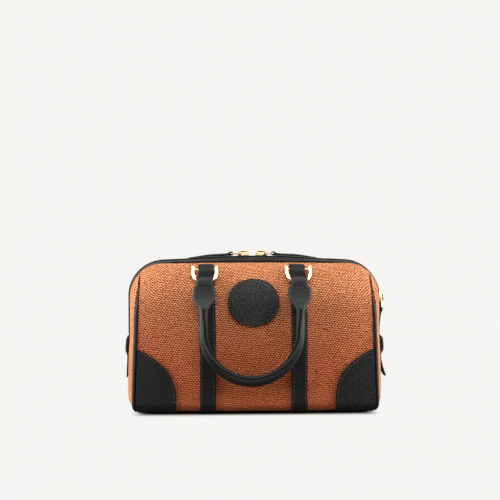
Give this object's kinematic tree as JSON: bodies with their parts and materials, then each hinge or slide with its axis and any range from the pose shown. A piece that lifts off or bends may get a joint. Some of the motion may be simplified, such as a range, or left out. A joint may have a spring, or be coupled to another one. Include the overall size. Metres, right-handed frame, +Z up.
{
  "type": "mini duffel bag",
  "caption": "Mini duffel bag with woven cloth walls, leather straps, corners and rolled handles on D-rings, and a zip over the top with brass sliders.",
  "frame": {"origin": "middle of the base panel's underside, on the surface that the bag stands on", "axes": "+X to the bag's right seen from the front, +Y from the front to the back, +Z up"},
  "size_m": [0.2886, 0.1466, 0.174],
  "materials": {
    "cloth": "coarse plain weave in rust orange, matt",
    "leather": "black pebbled leather, soft sheen",
    "zip_tape": "black woven tape with a black coil",
    "brass": "polished pale gold plate"
  },
  "bodies": {
    "root": {"front_panel": "cloth", "back_panel": "cloth", "right_end_panel": "cloth", "left_end_panel": "cloth", "base_panel": "leather", "front_right_piping": "leather", "front_left_piping": "leather", "back_right_piping": "leather", "back_left_piping": "leather", "front_right_corner": "leather", "front_left_corner": "leather", "back_right_corner": "leather", "back_left_corner": "leather", "front_zip_strip": "leather", "back_zip_strip": "leather", "zipper_tape": "zip_tape", "round_patch": "leather", "front_left_strap": "leather", "back_left_strap": "leather", "front_right_strap": "leather", "back_right_strap": "leather", "front_left_ring": "brass", "back_left_ring": "brass", "front_right_ring": "brass", "back_right_ring": "brass", "front_left_handle_end": "leather", "back_left_handle_end": "leather", "front_right_handle_end": "leather", "back_right_handle_end": "leather", "front_handle": "leather", "back_handle": "leather", "slider_left": "brass", "link_left": "brass", "pull_left": "leather", "slider_right": "brass", "link_right": "brass", "pull_right": "leather", "slider_end": "brass", "link_end": "brass", "pull_end": "leather", "right_end_tab": "leather", "left_end_tab": "leather"}
  },
  "joints": []
}
